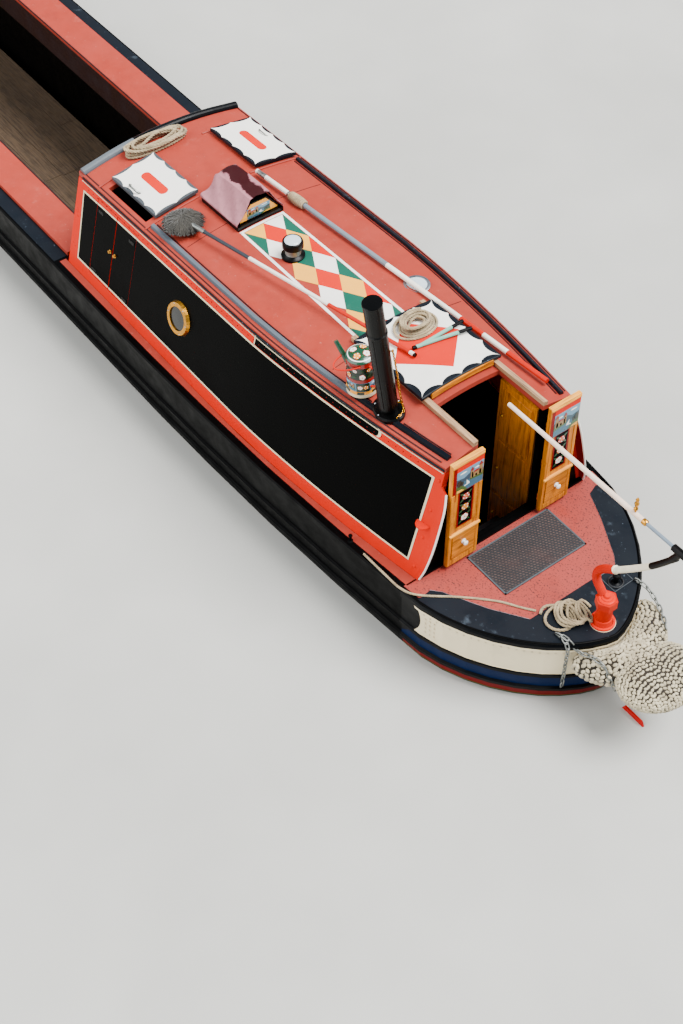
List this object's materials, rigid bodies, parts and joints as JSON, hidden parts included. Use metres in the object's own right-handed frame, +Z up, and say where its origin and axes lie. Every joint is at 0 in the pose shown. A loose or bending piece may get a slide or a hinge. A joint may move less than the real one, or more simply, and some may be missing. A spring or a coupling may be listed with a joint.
{
  "type": "motor narrowboat",
  "caption": "Full-length canal motor boat with an open hold, engine room, boatman's cabin with double rear doors and sliding hatches, round counter, rudder with swan neck tiller and propeller.",
  "frame": {"origin": "centre of the boat's length and beam, on the flat bottom of the hull", "axes": "+X forward to the bow, +Y to port, +Z up"},
  "size_m": [22.6, 2.178, 3.4996],
  "materials": {
    "hull_black": "satin bitumen black",
    "deck_black": "matt blue-black",
    "panel_black": "gloss black",
    "cream_paint": "gloss cream",
    "roof_red": "matt red oxide",
    "cabin_red": "gloss orange red",
    "maroon_paint": "satin maroon",
    "maroon_cloth": "waxed cloth",
    "grained_wood": "varnished graining",
    "bare_wood": "worn bare wood",
    "cast_iron": "worn",
    "brass": "polished",
    "rope": "natural laid rope",
    "teal_paint": "satin",
    "can_green": "gloss painted ware",
    "mop_wool": "wool strands",
    "engine_green": "satin"
  },
  "bodies": {
    "boat": {"hull_shell": "hull_black", "counter": "deck_black", "counter_tread_plate": "cast_iron", "side_deck_port": "roof_red", "side_deck_stbd": "roof_red", "coaming_port": "maroon_paint", "coaming_stbd": "maroon_paint", "hold_floor": "bare_wood", "hold_beam_1": "roof_red", "hold_beam_2": "roof_red", "fore_deck": "roof_red", "fore_stud": "hull_black", "cabin_side_port": "cabin_red", "cabin_side_stbd": "cabin_red", "porthole_port": "brass", "porthole_stbd": "brass", "cabin_roof": "roof_red", "roof_cap_beam": "deck_black", "front_bulkhead": "maroon_paint", "rear_bulkhead": "hull_black", "cabin_sole": "bare_wood", "cabin_step": "grained_wood", "cabin_cupboard": "grained_wood", "engine_block": "engine_green", "hatch_runner_port": "bare_wood", "hatch_runner_stbd": "bare_wood", "handrail_port": "deck_black", "handrail_stbd": "deck_black", "chimney": "panel_black", "mushroom_vent": "brass", "pigeon_box_cover": "maroon_cloth", "water_can": "can_green", "mop": "mop_wool", "boat_shaft": "cream_paint", "side_step_port": "cabin_red", "side_step_stbd": "cabin_red", "rudder_collar": "cabin_red", "stern_fender": "rope", "bow_fender": "rope", "front_coil": "rope", "stern_coil": "rope", "stern_line": "rope"},
    "steering": {"rudder": "hull_black", "swan_neck": "cabin_red", "tiller_bar": "cream_paint", "tiller_pin": "brass"},
    "propeller": {"propeller": "brass"},
    "rear_door_port": {"rear_door_port": "grained_wood"},
    "rear_door_stbd": {"rear_door_stbd": "grained_wood"},
    "rear_slide": {"rear_slide": "cream_paint", "rear_coil": "rope", "slide_poles": "teal_paint"},
    "engine_slide_port": {"engine_slide_port": "cream_paint"},
    "engine_slide_stbd": {"engine_slide_stbd": "cream_paint"},
    "engine_door_port_aft": {"engine_door_port_aft": "panel_black"},
    "engine_door_port_fore": {"engine_door_port_fore": "panel_black"},
    "engine_door_stbd_aft": {"engine_door_stbd_aft": "panel_black"},
    "engine_door_stbd_fore": {"engine_door_stbd_fore": "panel_black"},
    "fore_hatch": {"fore_hatch": "roof_red"}
  },
  "joints": [
    {"name": "rudder_turn", "type": "hinge", "parent": "boat", "child": "steering", "pos_m": [-10.54, 0, 1.45], "axis": [0, 0, 1], "range_deg": [-38, 38]},
    {"name": "propeller_spin", "type": "hinge", "parent": "boat", "child": "propeller", "pos_m": [-10.02, 0, 0.4], "axis": [1, 0, 0], "continuous": true},
    {"name": "rear_door_port_hinge", "type": "hinge", "parent": "boat", "child": "rear_door_port", "pos_m": [-9.506, 0.284, 1.9], "axis": [0, 0, 1], "range_deg": [0, 180]},
    {"name": "rear_door_stbd_hinge", "type": "hinge", "parent": "boat", "child": "rear_door_stbd", "pos_m": [-9.506, -0.284, 1.9], "axis": [0, 0, -1], "range_deg": [0, 180]},
    {"name": "rear_slide_travel", "type": "slide", "parent": "boat", "child": "rear_slide", "axis": [0.9993, 0, -0.0374], "range_m": [-0.56, 0]},
    {"name": "engine_slide_port_travel", "type": "slide", "parent": "boat", "child": "engine_slide_port", "axis": [0, -0.988, 0.1541], "range_m": [-0.075, 0.2]},
    {"name": "engine_slide_stbd_travel", "type": "slide", "parent": "boat", "child": "engine_slide_stbd", "axis": [0, 0.988, 0.1541], "range_m": [0, 0.265]},
    {"name": "engine_door_port_aft_hinge", "type": "hinge", "parent": "boat", "child": "engine_door_port_aft", "pos_m": [-6.02, 0.861, 1.8715], "axis": [0, -0.2544, 0.9671], "range_deg": [0, 170]},
    {"name": "engine_door_port_fore_hinge", "type": "hinge", "parent": "boat", "child": "engine_door_port_fore", "pos_m": [-5.45, 0.8581, 1.8715], "axis": [0, 0.2544, -0.9671], "range_deg": [0, 170]},
    {"name": "engine_door_stbd_aft_hinge", "type": "hinge", "parent": "boat", "child": "engine_door_stbd_aft", "pos_m": [-6.02, -0.861, 1.8715], "axis": [0, -0.2544, -0.9671], "range_deg": [0, 170]},
    {"name": "engine_door_stbd_fore_hinge", "type": "hinge", "parent": "boat", "child": "engine_door_stbd_fore", "pos_m": [-5.45, -0.8581, 1.8715], "axis": [0, 0.2544, 0.9671], "range_deg": [0, 170]},
    {"name": "fore_hatch_hinge", "type": "hinge", "parent": "boat", "child": "fore_hatch", "pos_m": [9.06, 0, 1.7056], "axis": [0, 1, 0], "range_deg": [0, 110]}
  ]
}
